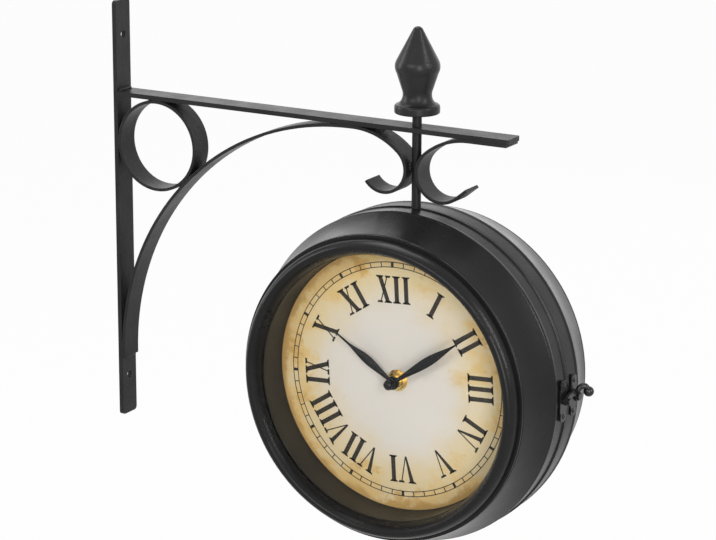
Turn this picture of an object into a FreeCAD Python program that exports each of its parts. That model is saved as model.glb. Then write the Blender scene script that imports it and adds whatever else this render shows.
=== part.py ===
import FreeCAD, Part
import Sketcher
import math
import os
import re
from FreeCAD import Placement, Rotation, Vector

# Double sided station clock on a wall bracket. Millimetres.
# Origin: middle of the two wall holes, on the wall. +X runs out from the wall along the arm,
# +Y runs from the front dial to the rear dial, +Z is up.

doc = FreeCAD.newDocument("station_clock")
sheet = doc.addObject("Spreadsheet::Sheet", "Dims")

DIMENSIONS = [
    # wall bar and arm, flat steel bar
    ("strip_width", 16.0),
    ("bar_thick", 3.0),
    ("hole_pitch", 234.0),
    ("wall_hole", 5.0),
    ("bar_above", 23.0),
    ("bar_below", 27.0),
    ("bar_corner", 2.5),
    ("arm_top", 80.0),
    ("arm_tip", 291.0),
    ("arm_corner", 1.5),
    # bent strips under the arm
    ("scroll_thick", 2.0),
    ("weld_gap", 0.05),
    ("brace_tail", 3.0),
    ("curl_lead", 2.0),
    ("curl_radius", 16.5),
    ("curl_opening", 33.5),
    ("curl_wide_angle", 41.0),
    ("curl_angle", 192.0),
    ("end_scroll_radius", 18.0),
    ("end_scroll_opening", 28.5),
    ("end_scroll_wide_angle", 41.0),
    ("end_scroll_open_angle", 39.0),
    ("end_scroll_tail", 9.5),
    ("end_scroll_drop", "=2 * end_scroll_radius + end_scroll_opening"
     " * (1 - cos(end_scroll_wide_angle))"),
    # rod and turned finial
    ("rod_x", 223.5),
    ("rod_diameter", 6.0),
    ("rod_fit", 0.05),
    ("finial_gap", 8.3),
    ("finial_height", 54.4),
    ("finial_foot", 14.3),
    ("finial_foot_rim", 4.2),
    ("finial_neck", 9.1),
    ("finial_neck_height", 11.7),
    ("finial_bulge", 14.1),
    ("finial_bulge_height", 29.3),
    ("finial_tip", 3.2),
    ("finial_dome", 2.0),
    ("finial_bore", 16.0),
    # drum, each half measured from the seam
    ("sheet_thick", 1.2),
    ("seam_gap", 0.15),
    ("lip_radius", 108.2),
    ("scroll_clear", 5.5),
    ("drum_z", "=arm_top - bar_thick - end_scroll_drop - scroll_clear - lip_radius"),
    ("lip_width", 1.6),
    ("band_step", 0.9),
    ("band_radius", "=lip_radius - band_step"),
    ("band_end", 12.4),
    ("bead_drop", 0.3),
    ("bead_radius", "=lip_radius - bead_drop"),
    ("bead_width", 5.0),
    ("slope_radius", 100.0),
    ("case_depth", 43.5),
    ("mouth_step", 18.7),
    ("case_mouth", "=lip_radius - mouth_step"),
    ("flange_width", 8.9),
    ("shoulder_radius", "=case_mouth + flange_width"),
    ("rod_notch", 0.4),
    # bezel, rolled sheet ring, and glass
    ("bezel_rise", 9.4),
    ("bezel_depth", "=case_depth + bezel_rise"),
    ("bezel_lip", "=case_depth + 1.6"),
    ("bezel_cover", 3.1),
    ("bezel_inner", "=case_mouth - bezel_cover"),
    ("bezel_crest", "=bezel_inner + 5.4"),
    ("bezel_step", "=bezel_inner + 10"),
    ("bezel_edge", "=shoulder_radius + 0.5"),
    ("bezel_thick", 1.0),
    ("glass_thick", 2.0),
    ("glass_gap", 0.1),
    ("glass_rim_gap", 0.7),
    # dial and the ring round it
    ("dial_face", 22.0),
    ("dial_thick", 1.0),
    ("dial_radius", "=case_mouth + 8"),
    ("ring_radius", "=bezel_inner - 0.4"),
    ("ring_thick", 1.2),
    ("post_circle", "=case_mouth + 4"),
    ("post_radius", 2.5),
    ("screw_radius", 1.5),
    ("screw_head", 2.9),
    ("screw_head_height", 1.5),
    ("screw_length", 12.0),
    # quartz movement
    ("movement_size", 56.0),
    ("movement_thick", 15.0),
    ("movement_corner", 4.0),
    ("cell_radius", 7.1),
    ("cell_length", 50.5),
    ("cell_gap", 0.4),
    ("cell_z", -17.0),
    ("bush_radius", 4.0),
    ("bush_length", 6.0),
    ("pipe_radius", 2.5),
    ("arbor_radius", 1.7),
    ("running_gap", 0.05),
    ("washer_radius", 7.0),
    ("washer_thick", 0.6),
    ("dial_nut_radius", 6.0),
    ("dial_nut_thick", 2.4),
    ("knob_radius", 5.0),
    ("knob_thick", 2.2),
    ("knob_offset", 15.0),
    # hands
    ("hour_length", 48.8),
    ("minute_length", 70.2),
    ("hand_half_width", 3.0),
    ("hand_ridge", 1.4),
    ("hand_edge", 0.4),
    ("hour_angle", 147.3),
    ("minute_angle", 35.5),
    ("hour_collar", 4.3),
    ("minute_collar", 3.5),
    ("collar_height", 1.9),
    ("hand_gap", 0.6),
    ("cap_radius", 3.0),
    ("cap_height", 4.2),
    ("cap_dome", 1.6),
    # hinge at nine o'clock
    ("knuckle_radius", 2.0),
    ("hinge_gap", 0.35),
    ("hinge_pin", 1.0),
    ("hinge_height", 28.0),
    ("hinge_middle", 9.6),
    ("leaf_thick", 1.1),
    ("leaf_seat", 0.15),
    ("leaf_end", 11.8),
    # hook latch at three o'clock
    ("latch_thick", 1.2),
    ("latch_middle", 6.9),
    ("rivet_radius", 1.0),
    ("rivet_head", 1.7),
    ("rivet_rise", 1.0),
    ("rivet_pitch", 20.0),
    ("hook_thick", 2.0),
    ("hook_lift", 1.5),
    ("hook_gap", 0.3),
    ("stud_radius", 1.5),
    ("keeper_radius", 1.3),
    ("stud_head", 2.6),
    ("hook_eye", 3.3),
    ("horn_radius", 1.8),
    ("hook_ball", 3.3),
    # rod strap inside the rear case
    ("strap_width", 14.0),
    ("strap_thick", 2.0),
    ("strap_drop", 9.0),
    ("nut_height", 5.0),
    ("nut_flats", 10.0),
]

for row, (alias, value) in enumerate(DIMENSIONS, 1):
    sheet.set("A%d" % row, alias)
    sheet.set("B%d" % row, str(value))
    sheet.setAlias("B%d" % row, alias)
doc.recompute()

ALIASES = {alias for alias, value in DIMENSIONS}


def cells(text):
    """The same sum with each named size pointing at its cell."""
    return re.sub(r"[a-z_]+", lambda word: "Dims." + word.group() if word.group() in ALIASES
                  else word.group(), str(text))


def size(text):
    """The number that a sum of named sizes comes to."""
    return float(sheet.evalExpression(cells(text)))


def bind(item, **sums):
    """Tie properties of an object to sums of named sizes; base_x is Placement.Base.x."""
    for name, text in sums.items():
        path = name.replace("base_", "Placement.Base.")
        item.setExpression(path, cells(text))


pieces = []


def piece(item, label):
    """Keep an object as one sub-part under its own name."""
    item.Label = label
    pieces.append(item)
    return item


def draw(body, name, plane, corners):
    """A closed outline on one of the body's own planes.

    A corner is (x, y) for a straight edge that ends there, or (x, y, radius, turn) for an arc
    that ends there, turning "left" or "right".
    """
    sketch = body.newObject("Sketcher::SketchObject", name)
    flat = [f for f in body.Origin.OriginFeatures if f.Role == plane][0]
    sketch.AttachmentSupport = [(flat, "")]
    sketch.MapMode = "FlatFace"
    points = [Vector(size(c[0]), size(c[1]), 0) for c in corners]
    ends = []
    for number, corner in enumerate(corners):
        start, end = points[number - 1], points[number]
        if len(corner) == 2:
            sketch.addGeometry(Part.LineSegment(start, end), False)
            ends.append((1, 2))
            continue
        radius = size(corner[2])
        chord = end - start
        reach = math.sqrt(max(radius ** 2 - chord.Length ** 2 / 4, 0))
        left = Vector(-chord.y, chord.x, 0).normalize()
        sign = 1 if corner[3] == "left" else -1
        centre = (start + end) * 0.5 + left * reach * sign
        first, last = (start, end) if sign > 0 else (end, start)
        angles = [math.atan2(p.y - centre.y, p.x - centre.x) for p in (first, last)]
        circle = Part.Circle(centre, Vector(0, 0, 1), radius)
        sketch.addGeometry(Part.ArcOfCircle(circle, angles[0], angles[1]), False)
        ends.append((1, 2) if sign > 0 else (2, 1))
    for number in range(len(corners)):
        before = number - 1 if number else len(corners) - 1
        sketch.addConstraint(Sketcher.Constraint(
            "Coincident", before, ends[before][1], number, ends[number][0]))
    for number, corner in enumerate(corners):
        for kind, text, value in (("DistanceX", corner[0], points[number].x),
                                  ("DistanceY", corner[1], points[number].y)):
            if text == "0":
                axis = -2 if kind == "DistanceX" else -1
                sketch.addConstraint(Sketcher.Constraint(
                    "PointOnObject", number, ends[number][1], axis))
                continue
            index = sketch.addConstraint(Sketcher.Constraint(
                kind, -1, 1, number, ends[number][1], value))
            sketch.setExpression("Constraints[%d]" % index, cells(text))
        if len(corner) == 4:
            index = sketch.addConstraint(Sketcher.Constraint("Radius", number, size(corner[2])))
            sketch.setExpression("Constraints[%d]" % index, cells(corner[2]))
    return sketch


def turned(name, corners, axis="V_Axis", plane="XY_Plane"):
    """A piece turned about the sketch's upright axis."""
    body = doc.addObject("PartDesign::Body", name)
    sketch = draw(body, name + "_profile", plane, corners)
    turn = body.newObject("PartDesign::Revolution", name + "_turn")
    turn.Profile = sketch
    turn.ReferenceAxis = (sketch, [axis])
    turn.Angle = 360
    return body


def pressed(name, plane, corners, thick, middle=False, back=False):
    """A flat outline given a thickness square to its plane."""
    body = doc.addObject("PartDesign::Body", name)
    sketch = draw(body, name + "_outline", plane, corners)
    pad = body.newObject("PartDesign::Pad", name + "_pad")
    pad.Profile = sketch
    pad.Length = size(thick)
    pad.setExpression("Length", cells(thick))
    pad.Midplane = middle
    pad.Reversed = back
    return body


def peg(name, radius, length, way, x, y, z):
    """A round bar or a drill, from (x, y, z) the given way."""
    bar = doc.addObject("Part::Cylinder", name)
    bar.Placement = Placement(Vector(), Rotation(Vector(0, 0, 1), Vector(*way)))
    bind(bar, Radius=radius, Height=length, base_x=x, base_y=y, base_z=z)
    return bar


def block(name, length, width, height, x, y, z):
    """A square-cornered block from its lowest corner."""
    box = doc.addObject("Part::Box", name)
    bind(box, Length=length, Width=width, Height=height, base_x=x, base_y=y, base_z=z)
    return box


def joined(name, parts):
    fuse = doc.addObject("Part::MultiFuse", name)
    fuse.Shapes = parts
    return fuse


def cut(name, base, tools):
    """A piece with one or more others taken out of it."""
    result = doc.addObject("Part::Cut", name)
    result.Base = base
    result.Tool = tools[0] if len(tools) == 1 else joined(name + "_tools", tools)
    return result


def shaped(name, shape):
    feature = doc.addObject("Part::Feature", name)
    feature.Shape = shape
    return feature


# ---------------------------------------------------------------- wall bracket

bar_outline = [
    ("-strip_width / 2 + bar_corner", "hole_pitch / 2 + bar_above"),
    ("-strip_width / 2", "hole_pitch / 2 + bar_above - bar_corner", "bar_corner", "left"),
    ("-strip_width / 2", "-hole_pitch / 2 - bar_below + bar_corner"),
    ("-strip_width / 2 + bar_corner", "-hole_pitch / 2 - bar_below", "bar_corner", "left"),
    ("strip_width / 2 - bar_corner", "-hole_pitch / 2 - bar_below"),
    ("strip_width / 2", "-hole_pitch / 2 - bar_below + bar_corner", "bar_corner", "left"),
    ("strip_width / 2", "hole_pitch / 2 + bar_above - bar_corner"),
    ("strip_width / 2 - bar_corner", "hole_pitch / 2 + bar_above", "bar_corner", "left"),
]
wall_blank = pressed("wall_blank", "YZ_Plane", bar_outline, "bar_thick")
drills = [
    peg("wall_drill_%s" % end, "wall_hole / 2", "bar_thick * 3", (1, 0, 0),
        "-bar_thick", "0", "%s hole_pitch / 2" % sign)
    for end, sign in (("top", "+"), ("bottom", "-"))
]
piece(cut("wall_bar", wall_blank, drills), "wall_bar")

# the arm lies flat, its root on the face of the wall bar
arm_outline = [
    ("arm_tip - arm_corner", "strip_width / 2"),
    ("bar_thick", "strip_width / 2"),
    ("bar_thick", "-strip_width / 2"),
    ("arm_tip - arm_corner", "-strip_width / 2"),
    ("arm_tip", "-strip_width / 2 + arm_corner", "arm_corner", "left"),
    ("arm_tip", "strip_width / 2 - arm_corner"),
]
arm_outline.append(arm_outline.pop(0) + ("arm_corner", "left"))
arm_blank = pressed("arm_blank", "XY_Plane", arm_outline, "bar_thick")
bind(arm_blank, base_z="arm_top - bar_thick")
arm_drill = peg("arm_drill", "rod_diameter / 2 + rod_fit", "bar_thick * 3", (0, 0, 1),
                "rod_x", "0", "arm_top - 2 * bar_thick")
piece(cut("arm_bar", arm_blank, [arm_drill]), "arm_bar")


def bent_strip(x, z, heading, runs, thick, width):
    """Flat strip bent on edge: runs are ("straight", length) or (radius, turn in degrees).

    The walk follows the outer face; every bend turns the same way, given by the sign of turn.
    """
    outer, inner = [], []
    point = Vector(x, 0, z)
    side = -1 if sum(run[1] for run in runs if run[0] != "straight") < 0 else 1
    for run in runs:
        ahead = Vector(math.cos(heading), 0, math.sin(heading))
        inward = Vector(-ahead.z * side, 0, ahead.x * side)
        if run[0] == "straight":
            end = point + ahead * run[1]
            outer.append(Part.LineSegment(point, end).toShape())
            inner.append(Part.LineSegment(end + inward * thick, point + inward * thick).toShape())
            point = end
            continue
        radius, turn = run
        centre = point + inward * radius
        turned_by = math.radians(turn)
        spokes = []
        for share in (0, 0.5, 1):
            angle = turned_by * share
            away = Vector(-inward.x, 0, -inward.z)
            spokes.append(Vector(away.x * math.cos(angle) - away.z * math.sin(angle), 0,
                                 away.x * math.sin(angle) + away.z * math.cos(angle)))
        outer.append(Part.Arc(*[centre + s * radius for s in spokes]).toShape())
        inner.append(Part.Arc(*[centre + s * (radius - thick) for s in reversed(spokes)]).toShape())
        point = centre + spokes[2] * radius
        heading += turned_by
    first = outer[0].Vertexes[0].Point
    last_inner = inner[0].Vertexes[-1].Point
    start_cap = Part.LineSegment(last_inner, first).toShape()
    end_cap = Part.LineSegment(outer[-1].Vertexes[-1].Point, inner[-1].Vertexes[0].Point).toShape()
    wire = Part.Wire(outer + [end_cap] + list(reversed(inner)) + [start_cap])
    face = Part.Face(wire)
    face.translate(Vector(0, -width / 2, 0))
    return face.extrude(Vector(0, width, 0))


bar_face = size("bar_thick + weld_gap")
arm_under = size("arm_top - bar_thick - weld_gap")
strip = size("scroll_thick")
width = size("strip_width")

# the brace rises off the wall bar, meets the arm's underside, then curls down beside the rod
rod_left = size("rod_x - rod_diameter / 2 - weld_gap")
wide_angle = math.radians(size("curl_wide_angle"))
curl_radius = size("curl_radius")
curl_reach = curl_radius + size("curl_opening") * math.sin(wide_angle)
brace_radius = rod_left - curl_reach - size("curl_lead") - bar_face
brace = bent_strip(bar_face, arm_under - brace_radius - size("brace_tail"), math.pi / 2, [
    ("straight", size("brace_tail")),
    (brace_radius, -90),
    ("straight", size("curl_lead")),
    (curl_radius + size("curl_opening"), -size("curl_wide_angle")),
    (curl_radius, -size("curl_angle")),
], strip, width)
piece(shaped("brace_scroll", brace), "brace_scroll")

# the ring fills the corner and touches the wall bar, the arm and the brace
gap = size("weld_gap")
ring_radius = (brace_radius * (math.sqrt(2) - 1) - gap) / (math.sqrt(2) + 1)
ring_x = bar_face + ring_radius
ring_z = arm_under - ring_radius
ring_outer = peg("ring_outer", "%r" % ring_radius, "strip_width", (0, 1, 0),
                 "%r" % ring_x, "-strip_width / 2", "%r" % ring_z)
ring_hole = peg("ring_hole", "%r - scroll_thick" % ring_radius, "strip_width * 2", (0, 1, 0),
                "%r" % ring_x, "-strip_width", "%r" % ring_z)
piece(cut("scroll_ring", ring_outer, [ring_hole]), "scroll_ring")

# the end scroll lies under the tip of the arm and curls down on the other side of the rod
rod_right = size("rod_x + rod_diameter / 2 + weld_gap")
end_radius = size("end_scroll_radius")
end_turn = size("end_scroll_wide_angle")
end_start_x = (rod_right + end_radius
               + size("end_scroll_opening") * math.sin(math.radians(end_turn)))
end_scroll = bent_strip(size("arm_tip - arm_corner"), arm_under, math.pi, [
    ("straight", size("arm_tip - arm_corner") - end_start_x),
    (end_radius + size("end_scroll_opening"), end_turn),
    (end_radius, 180 - end_turn + size("end_scroll_open_angle")),
    ("straight", size("end_scroll_tail")),
], strip, width)
piece(shaped("end_scroll", end_scroll), "end_scroll")

# ---------------------------------------------------------------- rod and finial

strap_top = "drum_z + lip_radius - strap_drop"
rod_foot = strap_top + " - strap_thick - nut_height - 2"
rod_head = "arm_top + finial_gap + finial_bore"
piece(peg("hanger_rod", "rod_diameter / 2", "(%s) - (%s)" % (rod_head, rod_foot), (0, 0, 1),
          "rod_x", "0", rod_foot), "hanger_rod")

finial = turned("finial_form", [
    ("rod_diameter / 2 + rod_fit", "0"),
    ("finial_foot - 1", "0"),
    ("finial_foot", "1", "1", "left"),
    ("finial_foot", "finial_foot_rim"),
    ("finial_foot - 1.6", "finial_foot_rim + 1.6", "2", "left"),
    ("finial_neck + 0.6", "finial_neck_height - 2.8", "5", "right"),
    ("finial_neck + 0.3", "finial_neck_height + 2.2", "8", "right"),
    ("finial_bulge - 1", "finial_bulge_height - 4"),
    ("finial_bulge - 0.9", "finial_bulge_height + 4", "8.5", "left"),
    ("finial_tip", "finial_height - finial_dome"),
    ("0", "finial_height", "(finial_tip ^ 2 + finial_dome ^ 2) / (2 * finial_dome)", "left"),
    ("0", "finial_bore + 0.2"),
    ("rod_diameter / 2 + rod_fit", "finial_bore + 0.2"),
], plane="XZ_Plane")
bind(finial, base_x="rod_x", base_z="arm_top + finial_gap")
piece(finial, "finial")

# ---------------------------------------------------------------- the two halves of the drum

front_turn = Rotation(Vector(0, 0, 1), 180)
HALVES = (("front", front_turn), ("rear", Rotation()))


def on_drum(item, turn):
    """Carry a half's piece to the drum's centre, turned to its side."""
    item.Placement = Placement(Vector(), turn)
    bind(item, base_x="rod_x", base_z="drum_z")
    return item


def hand(length, collar, bore):
    """A leaf hand along +X with a ridge down the middle, on a round collar about Y."""
    half = size("hand_half_width")
    side = [(0.0, 1.2), (0.12, 1.3), (0.28, half * 0.76), (0.45, half), (0.6, half * 0.72),
            (0.75, half * 0.24), (0.86, 0.4), (1.0, 0.25)]
    upper = [Vector(share * length, 0, wide) for share, wide in side]
    lower = [Vector(share * length, 0, -wide) for share, wide in reversed(side)]
    edges = []
    for points in (upper, lower):
        curve = Part.BSplineCurve()
        curve.interpolate(points)
        edges.append(curve.toShape())
    tip_edge = Part.LineSegment(upper[-1], lower[0]).toShape()
    root_edge = Part.LineSegment(lower[-1], upper[0]).toShape()
    outline = Part.Face(Part.Wire([edges[0], tip_edge, edges[1], root_edge]))
    ridge, eave = size("hand_ridge"), size("2 * hand_edge - hand_ridge")
    roof = Part.Face(Part.makePolygon([
        Vector(-1, -1, -half * 2), Vector(-1, eave, -half * 2), Vector(-1, ridge, 0),
        Vector(-1, eave, half * 2), Vector(-1, -1, half * 2),
        Vector(-1, -1, -half * 2)])).extrude(Vector(length + 2, 0, 0))
    leaf = outline.extrude(Vector(0, ridge, 0)).common(roof)
    boss = Part.makeCylinder(collar, size("collar_height"), Vector(), Vector(0, 1, 0))
    hole = Part.makeCylinder(bore, size("collar_height") * 3, Vector(0, -2, 0), Vector(0, 1, 0))
    return leaf.fuse(boss).cut(hole)


bush_end = "dial_face - dial_thick + bush_length"
hour_start = bush_end + " + hand_gap"
minute_start = hour_start + " + collar_height + hand_gap + 0.6"
cap_start = minute_start + " + collar_height"
movement_back = "dial_face - dial_thick - movement_thick"

for half, turn in HALVES:
    # spun steel case: lip at the seam, flat band, bead, long slope, flange inward at the front
    shell = turned(half + "_case_form", [
        ("lip_radius", "seam_gap"),
        ("lip_radius", "lip_width"),
        ("band_radius", "lip_width + 0.7"),
        ("band_radius", "band_end"),
        ("bead_radius - 0.5", "band_end + 0.8"),
        ("bead_radius - 0.7", "band_end + bead_width - 0.6", "3.4", "left"),
        ("shoulder_radius + 0.8", "case_depth - 0.8", "slope_radius", "right"),
        ("shoulder_radius", "case_depth", "1", "left"),
        ("case_mouth", "case_depth"),
        ("case_mouth", "case_depth - sheet_thick"),
        ("shoulder_radius - 0.6", "case_depth - sheet_thick"),
        ("band_radius - sheet_thick", "band_end + bead_width - 1",
         "slope_radius + sheet_thick", "left"),
        ("band_radius - sheet_thick", "seam_gap"),
    ])
    on_drum(shell, turn)
    notch = peg(half + "_rod_notch", "rod_diameter / 2 + rod_notch", "20", (0, 0, 1),
                "rod_x", "0", "drum_z + lip_radius - 12")
    piece(cut(half + "_case", shell, [notch]), half + "_case")

    # rolled bezel: edge against the case, high crest, lip turned in over the glass
    bezel = turned(half + "_bezel_form", [
        ("bezel_step - bezel_thick", "case_depth + 0.05"),
        ("bezel_edge", "case_depth + 0.05"),
        ("bezel_edge", "case_depth + 1.1"),
        ("bezel_step", "case_depth + 1.1"),
        ("bezel_crest + 2.2", "bezel_depth - 0.9", "8.4", "left"),
        ("bezel_crest - 2", "bezel_depth - 0.8", "3", "left"),
        ("bezel_inner + 0.7", "bezel_lip + 2.2", "12", "left"),
        ("bezel_inner", "bezel_lip"),
        ("bezel_inner + 2.4", "bezel_lip"),
        ("bezel_inner + 0.8 + bezel_thick", "bezel_lip + 2.3"),
        ("bezel_crest - 1.5", "bezel_depth - 0.8 - bezel_thick", "11", "right"),
        ("bezel_crest + 1.6", "bezel_depth - 0.8 - bezel_thick", "2.2", "right"),
        ("bezel_step - bezel_thick", "case_depth + 1.1", "7.4", "right"),
    ])
    piece(on_drum(bezel, turn), half + "_bezel")

    glass_back = "bezel_lip - glass_gap - glass_thick"
    glass = turned(half + "_glass_form", [
        ("0", glass_back),
        ("case_mouth - glass_rim_gap", glass_back),
        ("case_mouth - glass_rim_gap", "bezel_lip - glass_gap"),
        ("0", "bezel_lip - glass_gap"),
    ])
    piece(on_drum(glass, turn), half + "_glass")

    # stepped ring between dial and glass, with a flange that the screws clamp
    ring = turned(half + "_dial_ring_form", [
        ("ring_radius", "dial_face"),
        ("dial_radius", "dial_face"),
        ("dial_radius", "dial_face + ring_thick"),
        ("ring_radius + ring_thick", "dial_face + ring_thick"),
        ("ring_radius + ring_thick", glass_back + " - glass_gap"),
        ("ring_radius", glass_back + " - glass_gap"),
    ])
    on_drum(ring, turn)
    dial = turned(half + "_dial_form", [
        ("bush_radius + 0.2", "dial_face - dial_thick"),
        ("dial_radius", "dial_face - dial_thick"),
        ("dial_radius", "dial_face"),
        ("bush_radius + 0.2", "dial_face"),
    ])
    on_drum(dial, turn)

    # four posts stand on the flange inside the case; screws clamp dial and ring to them
    sign = -1 if half == "front" else 1
    posts, screws, ring_drills, dial_drills = [], [], [], []
    post_start = size("dial_face + ring_thick")
    post_end = size("case_depth - sheet_thick - 0.02")
    head_start = size("dial_face - dial_thick - screw_head_height")
    for number in range(4):
        angle = math.radians(45 + 90 * number)
        across = size("post_circle") * math.cos(angle)
        up = size("post_circle") * math.sin(angle)
        centre = Vector(size("rod_x") + across, 0, size("drum_z") + up)
        out = Vector(0, sign, 0)
        post = Part.makeCylinder(size("post_radius"), post_end - post_start,
                                 centre + out * post_start, out)
        bore = Part.makeCylinder(size("screw_radius + 0.02"), size("screw_length"),
                                 centre + out * (post_start - 1), out)
        posts.append(post.cut(bore))
        head = Part.makeCylinder(size("screw_head"), size("screw_head_height"),
                                 centre + out * head_start, out)
        shank = Part.makeCylinder(size("screw_radius"), size("screw_length - 1"),
                                  centre + out * (head_start + size("screw_head_height")), out)
        slot = Part.makeBox(8, 0.8, 0.8, Vector(-4, -0.4, -0.4))
        slot.translate(centre + out * (head_start + 0.3))
        slot.rotate(centre + out * head_start, out, 25 * number)
        screws.append(head.fuse(shank).cut(slot))
        drill = Part.makeCylinder(size("screw_radius + 0.2"), 8, centre + out * (head_start), out)
        ring_drills.append(drill)
    drill_set = shaped(half + "_screw_drills", Part.makeCompound(ring_drills))
    piece(cut(half + "_dial_ring", ring, [drill_set]), half + "_dial_ring")
    piece(cut(half + "_dial", dial, [drill_set]), half + "_dial")
    piece(shaped(half + "_dial_posts", Part.makeCompound(posts)), half + "_dial_posts")
    piece(shaped(half + "_dial_screws", Part.makeCompound(screws)), half + "_dial_screws")

    # quartz movement: moulded box with a bay for one cell in its back
    edge = "movement_size / 2"
    corner = "(movement_size / 2 - movement_corner)"
    box = pressed(half + "_movement_box", "XZ_Plane", [
        ("-" + corner, edge),
        ("-" + edge, corner, "movement_corner", "left"), ("-" + edge, "-" + corner),
        ("-" + corner, "-" + edge, "movement_corner", "left"), (corner, "-" + edge),
        (edge, "-" + corner, "movement_corner", "left"), (edge, corner),
        (corner, edge, "movement_corner", "left"),
    ], "movement_thick", back=True)
    bind(box, base_y=movement_back)
    bay = block(half + "_cell_bay", "cell_length + 2 * cell_gap", "2 * (cell_radius + cell_gap)",
                "2 * (cell_radius + cell_gap)", "-cell_length / 2 - cell_gap",
                movement_back + " - cell_gap", "cell_z - cell_radius - cell_gap")
    shaft_bore = peg(half + "_shaft_bore", "pipe_radius + running_gap", "8", (0, 1, 0),
                     "0", "dial_face - dial_thick - 7", "0")
    arbor_bore = peg(half + "_arbor_bore", "arbor_radius + running_gap", "10", (0, 1, 0),
                     "0", "dial_face - dial_thick - 10", "0")
    stem_bore = peg(half + "_stem_bore", "arbor_radius + running_gap", "6", (0, 1, 0),
                    "knob_offset", movement_back + " - 1", "knob_offset")
    movement = cut(half + "_movement", box, [bay, shaft_bore, arbor_bore, stem_bore])
    piece(on_drum(movement, turn), half + "_movement")

    cell = peg(half + "_cell_can", "cell_radius", "cell_length - 1.2", (1, 0, 0),
               "-cell_length / 2", movement_back + " + cell_radius + cell_gap * 0.5", "cell_z")
    nub = peg(half + "_cell_nub", "2.7", "1.2", (1, 0, 0),
              "cell_length / 2 - 1.2", movement_back + " + cell_radius + cell_gap * 0.5", "cell_z")
    piece(on_drum(joined(half + "_cell", [cell, nub]), turn), half + "_cell")

    bush = turned(half + "_bush", [
        ("pipe_radius + running_gap", "dial_face - dial_thick"),
        ("bush_radius", "dial_face - dial_thick"),
        ("bush_radius", bush_end),
        ("pipe_radius + running_gap", bush_end),
    ])
    piece(on_drum(bush, turn), half + "_bush")
    washer = turned(half + "_dial_washer", [
        ("bush_radius + 0.1", "dial_face"),
        ("washer_radius", "dial_face"),
        ("washer_radius", "dial_face + washer_thick"),
        ("bush_radius + 0.1", "dial_face + washer_thick"),
    ])
    piece(on_drum(washer, turn), half + "_dial_washer")
    nut_start = "dial_face + washer_thick"
    nut = turned(half + "_dial_nut", [
        ("bush_radius + 0.03", nut_start),
        ("dial_nut_radius", nut_start),
        ("dial_nut_radius", nut_start + " + dial_nut_thick - 0.5"),
        ("dial_nut_radius - 0.5", nut_start + " + dial_nut_thick"),
        ("bush_radius + 0.03", nut_start + " + dial_nut_thick"),
    ])
    piece(on_drum(nut, turn), half + "_dial_nut")

    pipe = turned(half + "_hour_pipe", [
        ("arbor_radius + running_gap", "dial_face - dial_thick - 6"),
        ("pipe_radius", "dial_face - dial_thick - 6"),
        ("pipe_radius", hour_start + " + collar_height + 0.3"),
        ("arbor_radius + running_gap", hour_start + " + collar_height + 0.3"),
    ])
    piece(on_drum(pipe, turn), half + "_hour_pipe")
    arbor = turned(half + "_minute_arbor", [
        ("0", "dial_face - dial_thick - 9"),
        ("arbor_radius", "dial_face - dial_thick - 9"),
        ("arbor_radius", cap_start + " + 1.6"),
        ("0", cap_start + " + 1.6"),
    ])
    piece(on_drum(arbor, turn), half + "_minute_arbor")
    out = "-" if half == "front" else ""
    for name, bore, start in (("hour", "pipe_radius + 0.01", hour_start),
                              ("minute", "arbor_radius + 0.01", minute_start)):
        pointer = shaped("%s_%s_hand" % (half, name),
                         hand(size(name + "_length"), size(name + "_collar"), size(bore)))
        spin = Rotation(Vector(0, 1, 0), size(name + "_angle") - 180)
        pointer.Placement = Placement(Vector(), turn.multiply(spin))
        bind(pointer, base_x="rod_x", base_y="%s(%s)" % (out, start), base_z="drum_z")
        piece(pointer, "%s_%s_hand" % (half, name))
    cap = turned(half + "_hand_cap", [
        ("arbor_radius + 0.01", cap_start),
        ("cap_radius", cap_start),
        ("cap_radius", cap_start + " + cap_height - cap_dome"),
        ("0", cap_start + " + cap_height", "(cap_radius ^ 2 + cap_dome ^ 2) / (2 * cap_dome)",
         "left"),
        ("0", cap_start + " + 1.8"),
        ("arbor_radius + 0.01", cap_start + " + 1.8"),
    ])
    piece(on_drum(cap, turn), half + "_hand_cap")

    knob = turned(half + "_knob_form", [
        ("0", "0"),
        ("knob_radius - 0.4", "0"),
        ("knob_radius", "0.4"),
        ("knob_radius", "knob_thick"),
        ("arbor_radius", "knob_thick"),
        ("arbor_radius", "knob_thick + 5"),
        ("0", "knob_thick + 5"),
    ])
    knob.Placement = Placement(Vector(), turn)
    bind(knob, base_x="rod_x %s knob_offset" % (out or "+"),
         base_y="%s(%s - knob_thick - 0.5)" % (out, movement_back),
         base_z="drum_z + knob_offset")
    piece(knob, half + "_set_knob")

# ---------------------------------------------------------------- hinge at nine o'clock

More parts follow.
